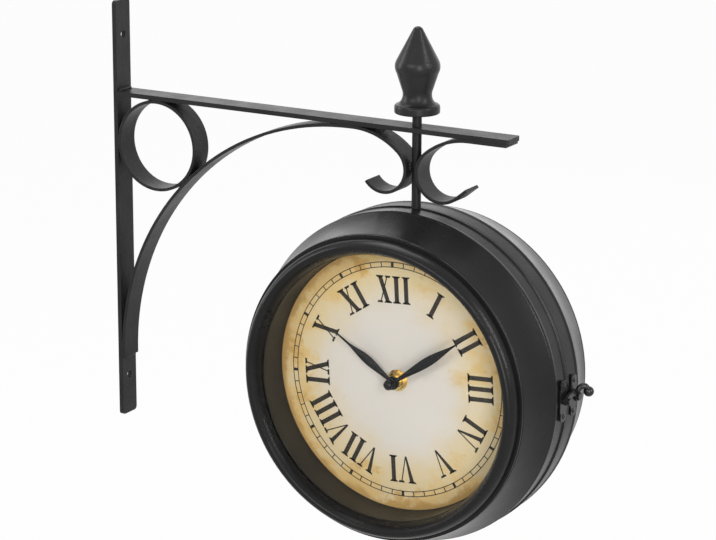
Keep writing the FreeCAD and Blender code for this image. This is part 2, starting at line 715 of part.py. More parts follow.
axis_out = "lip_radius + hinge_gap + knuckle_radius"
seat = "band_radius + leaf_seat"
leaf_outline = [
    (seat, "lip_width + 1.2"),
    (seat, "leaf_end"),
    (seat + " + leaf_thick", "leaf_end"),
    (seat + " + leaf_thick", "lip_width + 2.2"),
    (axis_out + " + 0.4", "knuckle_radius - 0.1"),
    (axis_out + " - 0.4", "knuckle_radius - 1.2"),
    ("lip_radius + 0.3", "lip_width + 0.1"),
]
FULL = "hinge_height"
MIDDLE = "hinge_middle"
FLIP = Rotation(Vector(0, 1, 0), 180)
for half, turn, barrels in (("front", front_turn, "middle"), ("rear", FLIP, "ends")):
    leaf = pressed(half + "_leaf_plate", "XY_Plane", leaf_outline, FULL, middle=True)
    barrel = peg(half + "_barrel", "knuckle_radius", FULL, (0, 0, 1),
                 axis_out, "0", "-hinge_height / 2")
    blank = joined(half + "_leaf_blank", [leaf, barrel])
    fit = "0.05" if half == "front" else "0.02"
    bore = peg(half + "_hinge_bore", "hinge_pin + " + fit, "hinge_height * 2", (0, 0, 1),
               axis_out, "0", "-hinge_height")
    reach = "knuckle_radius + hinge_gap * 0.4"
    tools = [bore]
    if barrels == "middle":
        for end, low in (("top", "hinge_middle / 2"), ("bottom", "-hinge_height")):
            high = "hinge_height - hinge_middle / 2"
            tools.append(block(half + "_gap_" + end, "9", "2 * (%s)" % reach, high,
                               axis_out + " - (%s)" % reach, "-(%s)" % reach, low))
    else:
        tools.append(block(half + "_gap_mid", "9", "2 * (%s)" % reach, "hinge_middle + 0.6",
                           axis_out + " - (%s)" % reach, "-(%s)" % reach,
                           "-hinge_middle / 2 - 0.3"))
    for level in ("+", "-"):
        tools.append(peg(half + "_leaf_drill_" + ("up" if level == "+" else "down"),
                         "rivet_radius + 0.02", "6", (1, 0, 0), "band_radius - 2",
                         "latch_middle", "%s rivet_pitch / 2" % level))
    leaf_done = cut(half + "_hinge_leaf", blank, tools)
    piece(on_drum(leaf_done, turn), half + "_hinge_leaf")

pin_shaft = peg("pin_shaft", "hinge_pin", "hinge_height + 1.6", (0, 0, 1),
                "rod_x - (%s)" % axis_out, "0", "drum_z - hinge_height / 2 - 0.8")
pin_heads = [
    peg("pin_head_" + end, "hinge_pin * 1.7", "0.8", (0, 0, 1), "rod_x - (%s)" % axis_out, "0",
        level)
    for end, level in (("top", "drum_z + hinge_height / 2"),
                       ("bottom", "drum_z - hinge_height / 2 - 0.8"))
]
piece(joined("hinge_pin", [pin_shaft] + pin_heads), "hinge_pin")

# ---------------------------------------------------------------- hook latch at three o'clock

plate_in = "rod_x + band_radius + leaf_seat"
plate_out = plate_in + " + latch_thick"
edge_in = "lip_width + 1.2"
mid = "latch_middle"
# scalloped plate: round ears round the rivets, a waist above and below the stud
plate_outline = [
    (edge_in, "-rivet_pitch / 2 + 3.6"),
    (edge_in + " + 0.9", "-rivet_pitch / 2 + 2.2", "3", "right"),
    (edge_in + " + 0.9", "-rivet_pitch / 2 - 1.6"),
    ("leaf_end - 0.9", "-rivet_pitch / 2 - 1.6", "4.4", "left"),
    ("leaf_end - 0.9", "-rivet_pitch / 2 + 2.2"),
    ("leaf_end", "-rivet_pitch / 2 + 3.6", "3", "right"),
    ("leaf_end", "rivet_pitch / 2 - 3.6"),
    ("leaf_end - 0.9", "rivet_pitch / 2 - 2.2", "3", "right"),
    ("leaf_end - 0.9", "rivet_pitch / 2 + 1.6"),
    (edge_in + " + 0.9", "rivet_pitch / 2 + 1.6", "4.4", "left"),
    (edge_in + " + 0.9", "rivet_pitch / 2 - 2.2"),
    (edge_in, "rivet_pitch / 2 - 3.6", "3", "right"),
]
for half, sign, name in (("front", "-", "keeper_plate"), ("rear", "", "hook_plate")):
    plate = pressed(name + "_form", "YZ_Plane", plate_outline, "latch_thick")
    if half == "front":
        plate.Placement = Placement(Vector(), Rotation(Vector(1, 0, 0), 180))
    bind(plate, base_x=plate_in, base_z="drum_z")
    drills = [
        peg(name + "_drill_%d" % number, "rivet_radius + 0.02", "6", (1, 0, 0),
            plate_in + " - 2", sign + mid, "drum_z + (%s)" % level)
        for number, level in enumerate(("rivet_pitch / 2", "-rivet_pitch / 2"))
    ]
    piece(cut(name, plate, drills), name)

    # one stud in the middle of each plate: the hook turns on one and drops over the other
    radius = "keeper_radius" if half == "front" else "stud_radius"
    stem = peg(name + "_stem", radius, "hook_lift + hook_thick + hook_gap", (1, 0, 0),
               plate_out, sign + mid, "drum_z")
    foot = peg(name + "_foot", radius + " + 0.9", "hook_lift - hook_gap", (1, 0, 0),
               plate_out, sign + mid, "drum_z")
    head = peg(name + "_head", radius + " + 1", "0.9", (1, 0, 0),
               plate_out + " + hook_lift + hook_thick + hook_gap", sign + mid, "drum_z")
    stud = "keeper_stud" if half == "front" else "hook_pivot"
    piece(joined(stud, [stem, foot, head]), stud)

for half, sign in (("front", -1), ("rear", 1)):
    rivets = []
    out = size("band_radius + leaf_seat")
    for way, thick in ((1, size("latch_thick")), (-1, size("leaf_thick"))):
        for up in (1, -1):
            foot = Vector(size("rod_x") + way * out, sign * size("latch_middle"),
                          size("drum_z") + up * size("rivet_pitch / 2"))
            ahead = Vector(way, 0, 0)
            shank = Part.makeCylinder(size("rivet_radius"), thick + 0.2, foot, ahead)
            radius, rise = size("rivet_head"), size("rivet_rise")
            ball = (radius ** 2 + rise ** 2) / (2 * rise)
            dome = Part.makeSphere(ball, foot + ahead * (thick + rise - ball))
            keep = Part.makeCylinder(radius + 1, rise + 1, foot + ahead * thick, ahead)
            rivets.append(shank.fuse(dome.common(keep)))
    piece(shaped(half + "_rivets", Part.makeCompound(rivets)), half + "_rivets")

# the hook: eye on the pivot, arm over the seam, notch that drops over the keeper, horn and ball
hook_in = size(plate_out + " + hook_lift")
mid_y = size("latch_middle")
level = size("drum_z")
eye = size("hook_eye")
keeper = size("keeper_radius")
slot = keeper + size("hook_gap")
tip = mid_y + slot + 1.3
arm_points = [
    (mid_y + 1.0, 3.1), (mid_y - 4.5, 6.0), (-mid_y + 2.0, 4.6), (-tip + 0.5, 2.6), (-tip, -1.6),
    (-mid_y - slot, -1.6), (-mid_y - slot, slot), (-mid_y + slot + 0.15, slot),
    (-mid_y + slot + 0.15, -1.2), (-mid_y + slot + 1.4, -1.0), (-mid_y + 5.5, 1.9),
    (mid_y - 5.5, 1.9), (mid_y - 2.4, -0.8), (mid_y + 1.0, 0.5),
]
outline = Part.makePolygon([Vector(hook_in, y, level + z) for y, z in arm_points + arm_points[:1]])
arm = Part.Face(outline).extrude(Vector(size("hook_thick"), 0, 0))
ahead = Vector(1, 0, 0)
ring = Part.makeCylinder(eye, size("hook_thick"), Vector(hook_in, mid_y, level), ahead)
horn_path = Part.BSplineCurve()
horn_points = [Vector(hook_in + 1, mid_y + 0.3, level + 1.6),
               Vector(hook_in + 1.9, mid_y + 1.2, level + 5.0),
               Vector(hook_in + 4.2, mid_y + 2.6, level + 6.4),
               Vector(hook_in + 6.2, mid_y + 3.6, level + 4.4)]
horn_path.interpolate(horn_points)
horn_start = Part.Circle(horn_points[0], horn_path.tangent(horn_path.FirstParameter)[0],
                         size("horn_radius"))
horn = Part.Wire([horn_path.toShape()]).makePipeShell(
    [Part.Wire([horn_start.toShape()])], True, False)
under = Part.makeBox(10, 20, 20, Vector(hook_in - 10, mid_y - 10, level - 10))
ball = Part.makeSphere(size("hook_ball"), horn_points[-1] + Vector(0.7, 0.4, -1.6))
bore = Part.makeCylinder(size("stud_radius + running_gap"), 20,
                         Vector(hook_in - 5, mid_y, level), ahead)
clear = Part.makeCylinder(size("stud_radius + 1 + hook_gap"), 2,
                          Vector(hook_in + size("hook_thick"), mid_y, level), ahead)
hook = arm.fuse([ring, horn.cut(under), ball]).cut(bore).cut(clear)
piece(shaped("latch_hook", hook), "latch_hook")

# ---------------------------------------------------------------- strap and nuts that hold the rod

strap_low = strap_top + " - strap_thick"
flat = block("strap_flat", "strap_width", "21", "strap_thick",
             "rod_x - strap_width / 2", "-6", strap_low)
leg = block("strap_leg", "strap_width", "strap_thick", "strap_drop + strap_thick",
            "rod_x - strap_width / 2", "15 - strap_thick", strap_low)
blank = joined("strap_blank", [flat, leg])
strap_drill = peg("strap_drill", "rod_diameter / 2 + rod_fit", "20", (0, 0, 1),
                  "rod_x", "0", strap_low + " - 5")
inside = peg("case_inside", "band_radius - sheet_thick - 0.1", "60", (0, 1, 0),
             "rod_x", "-30", "drum_z")
trimmed = doc.addObject("Part::Common", "strap_trimmed")
trimmed.Base = blank
trimmed.Tool = inside
piece(cut("rod_strap", trimmed, [strap_drill]), "rod_strap")

nuts = []
for low in (size(strap_top), size(strap_low + " - nut_height")):
    across = size("nut_flats") / math.sqrt(3)
    corners = [Vector(size("rod_x") + across * math.cos(math.radians(60 * n)),
                      across * math.sin(math.radians(60 * n)), low) for n in range(7)]
    hexagon = Part.Face(Part.makePolygon(corners)).extrude(Vector(0, 0, size("nut_height")))
    thread = Part.makeCylinder(size("rod_diameter / 2 + 0.02"), 20,
                               Vector(size("rod_x"), 0, low - 5), Vector(0, 0, 1))
    nuts.append(hexagon.cut(thread))
piece(shaped("rod_nuts", Part.makeCompound(nuts)), "rod_nuts")

# ---------------------------------------------------------------- check and write

doc.recompute()
for item in doc.Objects:
    if "Invalid" in item.State or "Error" in item.State:
        raise RuntimeError("%s did not build: %s" % (item.Label, item.State))
for item in pieces:
    shape = item.Shape
    if shape.isNull() or not shape.isValid() or not shape.Solids:
        raise RuntimeError("%s has no good solid" % item.Label)

os.makedirs("parts", exist_ok=True)
for item in pieces:
    item.Shape.exportStep("parts/%s.step" % item.Label)
print("%d sub-parts, %d solids" % (len(pieces), sum(len(i.Shape.Solids) for i in pieces)))
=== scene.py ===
import math

import bmesh
import bpy
from mathutils import Matrix, Vector


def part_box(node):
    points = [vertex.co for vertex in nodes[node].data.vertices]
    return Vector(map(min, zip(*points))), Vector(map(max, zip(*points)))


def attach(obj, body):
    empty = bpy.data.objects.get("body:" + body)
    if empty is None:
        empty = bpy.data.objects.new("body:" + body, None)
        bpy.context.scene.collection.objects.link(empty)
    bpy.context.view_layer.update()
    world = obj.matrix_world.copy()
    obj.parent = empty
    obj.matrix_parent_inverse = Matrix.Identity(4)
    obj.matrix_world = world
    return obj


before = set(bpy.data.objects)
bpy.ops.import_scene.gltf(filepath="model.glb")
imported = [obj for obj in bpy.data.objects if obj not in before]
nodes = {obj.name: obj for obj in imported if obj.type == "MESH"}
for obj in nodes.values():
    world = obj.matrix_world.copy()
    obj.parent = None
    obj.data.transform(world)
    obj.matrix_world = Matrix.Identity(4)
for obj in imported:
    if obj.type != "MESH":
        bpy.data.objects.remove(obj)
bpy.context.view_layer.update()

# ---------------------------------------------------------------- camera and studio
# A product photograph: long lens, a little above the clock and to its right, over a pale floor
# and between soft lamps. The clock hangs from its wall bar well above the floor.

camera_data = bpy.data.cameras.new("camera")
camera_data.sensor_width = 36.0
camera_data.lens = 134.4
camera = bpy.data.objects.new("camera", camera_data)
bpy.context.scene.collection.objects.link(camera)
camera_turn, camera_dip, camera_roll = (math.radians(a) for a in (29.78, 15.32, -0.27))
camera_ahead = Vector((-math.sin(camera_turn) * math.cos(camera_dip),
                       math.cos(camera_turn) * math.cos(camera_dip), -math.sin(camera_dip)))
level_right = Vector((math.cos(camera_turn), math.sin(camera_turn), 0))
level_down = camera_ahead.cross(level_right)
camera_right = level_right * math.cos(camera_roll) + level_down * math.sin(camera_roll)
camera_down = level_down * math.cos(camera_roll) - level_right * math.sin(camera_roll)
camera_axes = Matrix((camera_right, -camera_down, -camera_ahead)).transposed()
camera.matrix_world = Matrix.Translation((0.9994, -1.4289, 0.4323)) @ camera_axes.to_4x4()
bpy.context.scene.camera = camera
bpy.context.scene.view_settings.view_transform = "Standard"

floor_level = -0.55
floor_reach = 30
floor_mesh = bpy.data.meshes.new("floor")
floor_mesh.from_pydata([(x * floor_reach, y * floor_reach, floor_level)
                        for x, y in ((-1, -1), (1, -1), (1, 1), (-1, 1))], [], [(0, 1, 2, 3)])
floor = bpy.data.objects.new("floor", floor_mesh)
bpy.context.scene.collection.objects.link(floor)
floor_paper = bpy.data.materials.new("floor_paper")
floor_paper.use_nodes = True
tree = floor_paper.node_tree
tree.nodes.clear()
paper = tree.nodes.new("ShaderNodeBsdfDiffuse")
paper.inputs["Color"].default_value = (0.6, 0.6, 0.6, 1)
white = tree.nodes.new("ShaderNodeEmission")
white.inputs["Color"].default_value = (1, 1, 1, 1)


def seen_share(tree, shares):
    """How much of the white each kind of ray sees: camera, glossy, transmission. All other
    rays, and the small rest of these, see the lit paper or the room, which keeps the shadow."""
    path = tree.nodes.new("ShaderNodeLightPath")
    total = None
    for ray, share in zip(("Is Camera Ray", "Is Glossy Ray", "Is Transmission Ray"), shares):
        part = tree.nodes.new("ShaderNodeMath")
        part.operation = "MULTIPLY"
        part.inputs[1].default_value = share
        tree.links.new(path.outputs[ray], part.inputs[0])
        if total is None:
            total = part
            continue
        most = tree.nodes.new("ShaderNodeMath")
        most.operation = "MAXIMUM"
        tree.links.new(total.outputs[0], most.inputs[0])
        tree.links.new(part.outputs[0], most.inputs[1])
        total = most
    return total.outputs[0]


paper_mix = tree.nodes.new("ShaderNodeMixShader")
paper_out = tree.nodes.new("ShaderNodeOutputMaterial")
tree.links.new(seen_share(tree, (0.97, 0.97, 0.97)), paper_mix.inputs["Fac"])
tree.links.new(paper.outputs[0], paper_mix.inputs[1])
tree.links.new(white.outputs[0], paper_mix.inputs[2])
tree.links.new(paper_mix.outputs[0], paper_out.inputs["Surface"])
floor_mesh.materials.append(floor_paper)

world = bpy.data.worlds.new("studio")
bpy.context.scene.world = world
world.use_nodes = True
tree = world.node_tree
tree.nodes.clear()
room = tree.nodes.new("ShaderNodeBackground")
room.inputs["Color"].default_value = (1, 1, 1, 1)
room.inputs["Strength"].default_value = 0.28
backdrop = tree.nodes.new("ShaderNodeBackground")
backdrop.inputs["Color"].default_value = (1, 1, 1, 1)
room_mix = tree.nodes.new("ShaderNodeMixShader")
room_out = tree.nodes.new("ShaderNodeOutputWorld")
tree.links.new(seen_share(tree, (1, 1, 1)), room_mix.inputs["Fac"])
tree.links.new(room.outputs[0], room_mix.inputs[1])
tree.links.new(backdrop.outputs[0], room_mix.inputs[2])
tree.links.new(room_mix.outputs[0], room_out.inputs["Surface"])

# name, place, width, height and power of each soft box; all are turned to the drum
case_low, case_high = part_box("rear_case")
drum_centre = Vector(((case_low.x + case_high.x) / 2, 0, (case_low.z + case_high.z) / 2))
for name, place, wide, tall, power in (
    ("near_lamp", (1.54, -1.57, 0.36), 0.5, 1.4, 25),
    ("front_lamp", (0.06, -1.90, 0.81), 1.2, 0.5, 13),
    ("left_lamp", (-1.52, -0.47, 0.51), 0.4, 1.4, 12),
    ("right_lamp", (1.90, -0.06, 0.81), 0.16, 1.2, 17),
    ("top_lamp", (-0.29, 0.29, 1.73), 1.0, 1.0, 17),
    ("back_lamp", (1.25, 1.46, 0.57), 0.6, 1.2, 0.7),
    ("back_left_lamp", (-0.88, 1.32, 0.72), 0.6, 1.2, 2),
    ("rear_lamp", (0.05, 2.30, 0.40), 2.0, 1.6, 7),
):
    lamp_data = bpy.data.lights.new(name, "AREA")
    lamp_data.shape = "RECTANGLE"
    lamp_data.size = wide
    lamp_data.size_y = tall
    lamp_data.energy = power
    lamp = bpy.data.objects.new(name, lamp_data)
    lamp.location = place
    lamp.rotation_euler = (drum_centre - Vector(place)).to_track_quat("-Z", "Y").to_euler()
    bpy.context.scene.collection.objects.link(lamp)

# ---------------------------------------------------------------- wall bar and arm
# Two lengths of flat steel bar welded into a T and powder coated satin black. The coat is
# slightly lumpy and its edges are rounded where it ran thick.


def node_at(tree, kind, **settings):
    """A node with its plain settings given by name and its sockets by label."""
    node = tree.nodes.new(kind)
    for name, value in settings.items():
        if hasattr(node, name):
            setattr(node, name, value)
        else:
            node.inputs[name.replace("_", " ")].default_value = value
    return node


def ramp_between(tree, source, low, high, start=0.35, end=0.65):
    """A colour ramp from low to high over the given stretch of a noise."""
    ramp = tree.nodes.new("ShaderNodeValToRGB")
    ramp.color_ramp.elements[0].position = start
    ramp.color_ramp.elements[1].position = end
    ramp.color_ramp.elements[0].color = (*low, 1)
    ramp.color_ramp.elements[1].color = (*high, 1)
    tree.links.new(source, ramp.inputs["Fac"])
    return ramp


def satin_paint(name, dark, light, rough_low, rough_high, grain, lumps, edge=0.0005,
                shine=0.22):
    """Sprayed paint: cloudy tone, patchy gloss, orange peel grain and, where edge is the
    radius of a rounding, soft edges."""
    material = bpy.data.materials.new(name)
    material.use_nodes = True
    tree = material.node_tree
    shader = tree.nodes["Principled BSDF"]
    shader.inputs["Specular IOR Level"].default_value = shine
    place = tree.nodes.new("ShaderNodeTexCoord")
    cloud = node_at(tree, "ShaderNodeTexNoise", Scale=38.0, Detail=6.0, Roughness=0.62)
    speck = node_at(tree, "ShaderNodeTexNoise", Scale=grain, Detail=3.0, Roughness=0.5)
    swell = node_at(tree, "ShaderNodeTexNoise", Scale=grain * 0.16, Detail=2.0, Roughness=0.4)
    for noise in (cloud, speck, swell):
        tree.links.new(place.outputs["Object"], noise.inputs["Vector"])
    tone = ramp_between(tree, cloud.outputs["Fac"], dark, light)
    gloss = ramp_between(tree, cloud.outputs["Fac"], (rough_high,) * 3, (rough_low,) * 3, 0.3, 0.7)
    heights = node_at(tree, "ShaderNodeMath", operation="ADD")
    share = node_at(tree, "ShaderNodeMath", operation="MULTIPLY")
    share.inputs[1].default_value = 2.2
    tree.links.new(swell.outputs["Fac"], share.inputs[0])
    tree.links.new(speck.outputs["Fac"], heights.inputs[0])
    tree.links.new(share.outputs[0], heights.inputs[1])
    peel = tree.nodes.new("ShaderNodeBump")
    peel.inputs["Strength"].default_value = lumps
    peel.inputs["Distance"].default_value = 0.0002
    tree.links.new(heights.outputs[0], peel.inputs["Height"])
    if edge:
        round_edge = tree.nodes.new("ShaderNodeBevel")
        round_edge.samples = 6
        round_edge.inputs["Radius"].default_value = edge
        tree.links.new(round_edge.outputs["Normal"], peel.inputs["Normal"])
    tree.links.new(tone.outputs["Color"], shader.inputs["Base Color"])
    tree.links.new(gloss.outputs["Color"], shader.inputs["Roughness"])
    tree.links.new(peel.outputs["Normal"], shader.inputs["Normal"])
    return material


def dress(material, *names):
    """Give CAD nodes a material in place of the plain one."""
    for name in names:
        node = nodes[name]
        node.data.materials.clear()
        node.data.materials.append(material)


bracket_paint = satin_paint("bracket_paint", (0.010, 0.010, 0.010), (0.018, 0.018, 0.018),
                            0.34, 0.46, 1500.0, 0.35, shine=0.16)
dress(bracket_paint, "wall_bar", "arm_bar")


def add_piece(name, mesh, body, material, smooth=True):
    """A new piece of the scene, carried by one body of the clock."""
    piece = bpy.data.objects.new(name, mesh)
    bpy.context.scene.collection.objects.link(piece)
    mesh.materials.append(material)
    for face in mesh.polygons:
        face.use_smooth = smooth
    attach(piece, body)
    return piece


def weld_bead(name, start, end, radius, ripples):
    """A weld run: a thick worm from start to end with ripples across it and round ends."""
    start, end = Vector(start), Vector(end)
    along = end - start
    length = along.length
    ahead = along.normalized()
    side = ahead.orthogonal().normalized()
    up = ahead.cross(side)
    shape = bmesh.new()
    rings, spokes = 6 * ripples + 9, 14
    rows = []
    for i in range(rings):
        t = i / (rings - 1)
        from_end = min(t, 1 - t) * length
        slope = max(0.0, 1 - from_end / radius)
        dome = math.sqrt(1 - slope ** 2)
        swell = 1 + 0.09 * math.cos(2 * math.pi * ripples * t) + 0.05 * math.sin(7.3 * t * ripples)
        reach = radius * max(dome, 0.04) * swell
        centre = start + along * t + side * 0.08 * radius * math.sin(5.1 * t + length * 900)
        rows.append([shape.verts.new(centre + (side * math.cos(a) + up * math.sin(a)) * reach)
                     for a in (2 * math.pi * k / spokes for k in range(spokes))])
    for low, high in zip(rows, rows[1:]):
        for k in range(spokes):
            shape.faces.new((low[k], low[(k + 1) % spokes], high[(k + 1) % spokes], high[k]))
    shape.faces.new(list(reversed(rows[0])))
    shape.faces.new(rows[-1])
    bmesh.ops.recalc_face_normals(shape, faces=shape.faces)
    mesh = bpy.data.meshes.new(name)
    shape.to_mesh(mesh)
    shape.free()
    return add_piece(name, mesh, "bracket", bracket_paint)


bar_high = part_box("wall_bar")[1]
arm_low, arm_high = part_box("arm_bar")
half_strip = bar_high.y
weld_bead("weld_arm_top", (bar_high.x + 0.0006, -half_strip * 0.9, arm_high.z + 0.0004),
          (bar_high.x + 0.0006, half_strip * 0.9, arm_high.z + 0.0004), 0.0013, 7)

# ---------------------------------------------------------------- ring, brace and end scroll
# Bent strips of thinner flat bar, tacked where they touch the bars, each other and the rod.
# They carry the same black coat, and the tacks show through it as small ripples.

dress(bracket_paint, "scroll_ring", "brace_scroll", "end_scroll")
ring_low, ring_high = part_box("scroll_ring")
ring_centre = (ring_low + ring_high) / 2
ring_radius = (ring_high.x - ring_low.x) / 2
rod_low, rod_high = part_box("hanger_rod")
rod_x = (rod_low.x + rod_high.x) / 2
brace_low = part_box("brace_scroll")[0]
end_low, end_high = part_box("end_scroll")
# a tack lies to each side of the place where the ring touches bar, arm and brace
tack = 0.0062
brace_touch = (ring_radius + 0.0004) * math.sqrt(0.5)
for name, x, z, radius in (
    ("weld_ring_bar_upper", bar_high.x + 0.0003, ring_centre.z + tack, 0.0009),
    ("weld_ring_bar_lower", bar_high.x + 0.0003, ring_centre.z - tack, 0.0009),
    ("weld_ring_arm_left", ring_centre.x - tack, arm_low.z - 0.0003, 0.0009),
    ("weld_ring_arm_right", ring_centre.x + tack, arm_low.z - 0.0003, 0.0009),
    ("weld_ring_brace_upper", ring_centre.x + brace_touch + 0.0042,
     ring_centre.z - brace_touch + 0.0046, 0.0009),
    ("weld_ring_brace_lower", ring_centre.x + brace_touch - 0.0046,
     ring_centre.z - brace_touch - 0.0042, 0.0009),
    ("weld_brace_tail", bar_high.x + 0.0008, brace_low.z - 0.0002, 0.0011),
    ("weld_brace_arm", rod_x - 0.0222, arm_low.z - 0.0010, 0.0011),
    ("weld_scroll_tip", end_high.x - 0.0006, arm_low.z - 0.0010, 0.0010),
):
    weld_bead(name, (x, -half_strip * 0.8, z), (x, half_strip * 0.8, z), radius, 6)

# ---------------------------------------------------------------- rod and finial
# A round rod runs from the finial down through the arm into the drum. The finial is a cast
# knob, turned smooth and screwed on to the rod's end, with a black coat like the bars'.

knob_paint = satin_paint("knob_paint", (0.010, 0.010, 0.0105), (0.016, 0.016, 0.0165),
                         0.28, 0.40, 1900.0, 0.22, edge=0, shine=0.18)
dress(knob_paint, "finial")
dress(bracket_paint, "hanger_rod")
rod_radius = 0.003
curl_level = (end_low.z + arm_low.z) / 2 - 0.001
for name, way in (("weld_rod_curl", -1), ("weld_rod_scroll", 1)):
    x = rod_x + way * rod_radius
    weld_bead(name, (x, -rod_radius, curl_level + 0.003), (x, -rod_radius, curl_level - 0.003),
              0.0011, 3)

# ---------------------------------------------------------------- strap and nuts inside the drum
# A folded steel strap, 14 mm wide, is spot welded inside the rear half and drilled for the rod.
# Two plated nuts lock the rod to it, one above the strap and one below.


def worked_metal(name, dark, light, rough_low, rough_high, streaks, stretch):
    """Bare metal: brushed or turned lines, slight stains and uneven polish."""
    material = bpy.data.materials.new(name)
    material.use_nodes = True
    tree = material.node_tree
    shader = tree.nodes["Principled BSDF"]
    shader.inputs["Metallic"].default_value = 1.0
    place = tree.nodes.new("ShaderNodeTexCoord")
    pull = tree.nodes.new("ShaderNodeMapping")
    pull.inputs["Scale"].default_value = stretch
    lines = node_at(tree, "ShaderNodeTexNoise", Scale=streaks, Detail=5.0, Roughness=0.6)
    stain = node_at(tree, "ShaderNodeTexNoise", Scale=70.0, Detail=5.0, Roughness=0.6)
    tree.links.new(place.outputs["Object"], pull.inputs["Vector"])
    tree.links.new(pull.outputs["Vector"], lines.inputs["Vector"])
    tree.links.new(place.outputs["Object"], stain.inputs["Vector"])
    tone = ramp_between(tree, stain.outputs["Fac"], dark, light)
    gloss = ramp_between(tree, lines.outputs["Fac"], (rough_low,) * 3, (rough_high,) * 3, 0.3, 0.7)
    marks = tree.nodes.new("ShaderNodeBump")
    marks.inputs["Strength"].default_value = 0.25
    marks.inputs["Distance"].default_value = 0.0001
    tree.links.new(lines.outputs["Fac"], marks.inputs["Height"])
    tree.links.new(tone.outputs["Color"], shader.inputs["Base Color"])
    tree.links.new(gloss.outputs["Color"], shader.inputs["Roughness"])
    tree.links.new(marks.outputs["Normal"], shader.inputs["Normal"])
    return material


zinc_plate = worked_metal("zinc_plate", (0.42, 0.43, 0.45), (0.6, 0.61, 0.62), 0.3, 0.5, 500.0,
                          (1, 1, 6))
dress(zinc_plate, "rod_strap", "rod_nuts")

# ---------------------------------------------------------------- drum halves and bezels
# Each half is spun from thin steel: a lip at the seam, a flat band, a rolled bead and a long
# slope. A rolled bezel is pressed on its open face. All are sprayed satin black.

drum_paint = satin_paint("drum_paint", (0.007, 0.0068, 0.0068), (0.010, 0.0098, 0.0098),
                         0.24, 0.33, 1300.0, 0.12, edge=0, shine=0.16)
dress(drum_paint, "front_case", "rear_case", "front_bezel", "rear_bezel")

# ---------------------------------------------------------------- ring between dial and glass
# A stepped band of sheet steel, whose flange is screwed down with the dial. It is sprayed dark
# brown black; part of that brown is a painted reflection of the dial's colour, beside its real
# gloss.

# the warm brown in these colours is partly painted reflection of the dial, partly the paint's own
# tone
band_paint_and_dial_reflection = satin_paint("band_paint_and_dial_reflection", (0.020, 0.018, 0.015), (0.032, 0.029, 0.024),
                         0.4, 0.55, 1100.0, 0.2)
dress(band_paint_and_dial_reflection, "front_dial_ring", "rear_dial_ring")

# ---------------------------------------------------------------- glass
# A flat pane of clear glass, 2 mm thick. It lies between the ring behind it and the bezel's
# lip in front.

clear_pane = bpy.data.materials.new("clear_pane")
clear_pane.use_nodes = True
shader = clear_pane.node_tree.nodes["Principled BSDF"]
shader.inputs["Base Color"].default_value = (0.03, 0.035, 0.033, 1)
shader.inputs["Roughness"].default_value = 0.03
shader.inputs["IOR"].default_value = 1.5
shader.inputs["Alpha"].default_value = 0.07
dress(clear_pane, "front_glass", "rear_glass")

# ---------------------------------------------------------------- dials
# A sheet disc printed to look like old paper: greyish cream in the middle, ochre towards the
# edge with rusty blotches. Roman numerals and a minute track are printed over it in black.

dial_radius = 0.086
print_turn = {"front": math.radians(3.5), "rear": 0.0}


